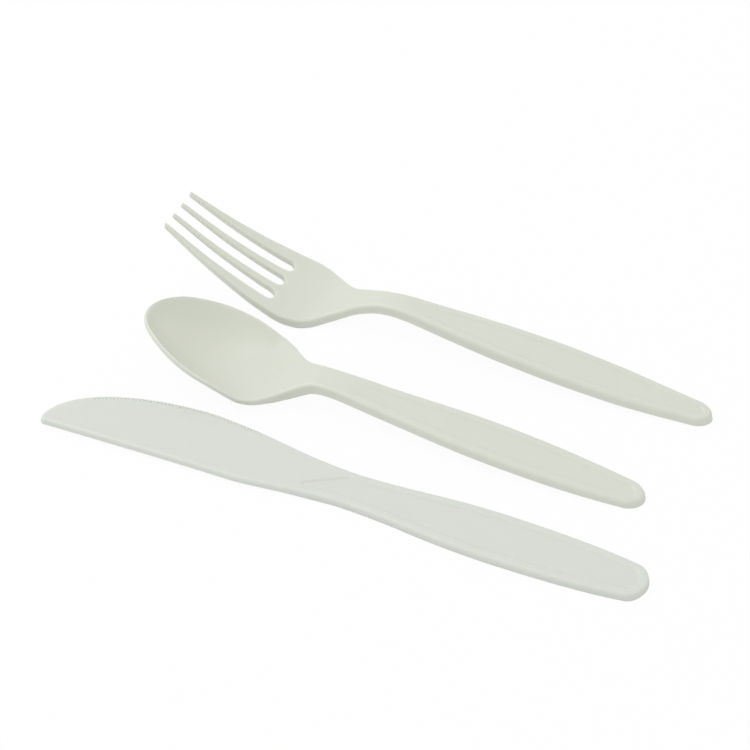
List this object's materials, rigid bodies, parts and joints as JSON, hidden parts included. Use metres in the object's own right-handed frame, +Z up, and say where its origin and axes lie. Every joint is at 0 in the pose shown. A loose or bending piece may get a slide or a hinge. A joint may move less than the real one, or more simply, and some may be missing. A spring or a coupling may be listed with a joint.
{
  "type": "disposable cutlery set",
  "caption": "Moulded plastic fork, spoon and saw-edged knife lying side by side, each with a raised rim round its handle.",
  "frame": {"origin": "centre of the set's footprint on the table the three pieces lie on", "axes": "+X along the handles, towards their ends; +Y from the knife towards the fork; +Z up"},
  "size_m": [0.1718, 0.0904, 0.0209],
  "materials": {
    "fork_plastic": "satin off-white",
    "spoon_plastic": "satin off-white",
    "knife_plastic": "satin off-white"
  },
  "bodies": {
    "root": {"fork": "fork_plastic", "spoon": "spoon_plastic", "knife": "knife_plastic"}
  },
  "joints": []
}
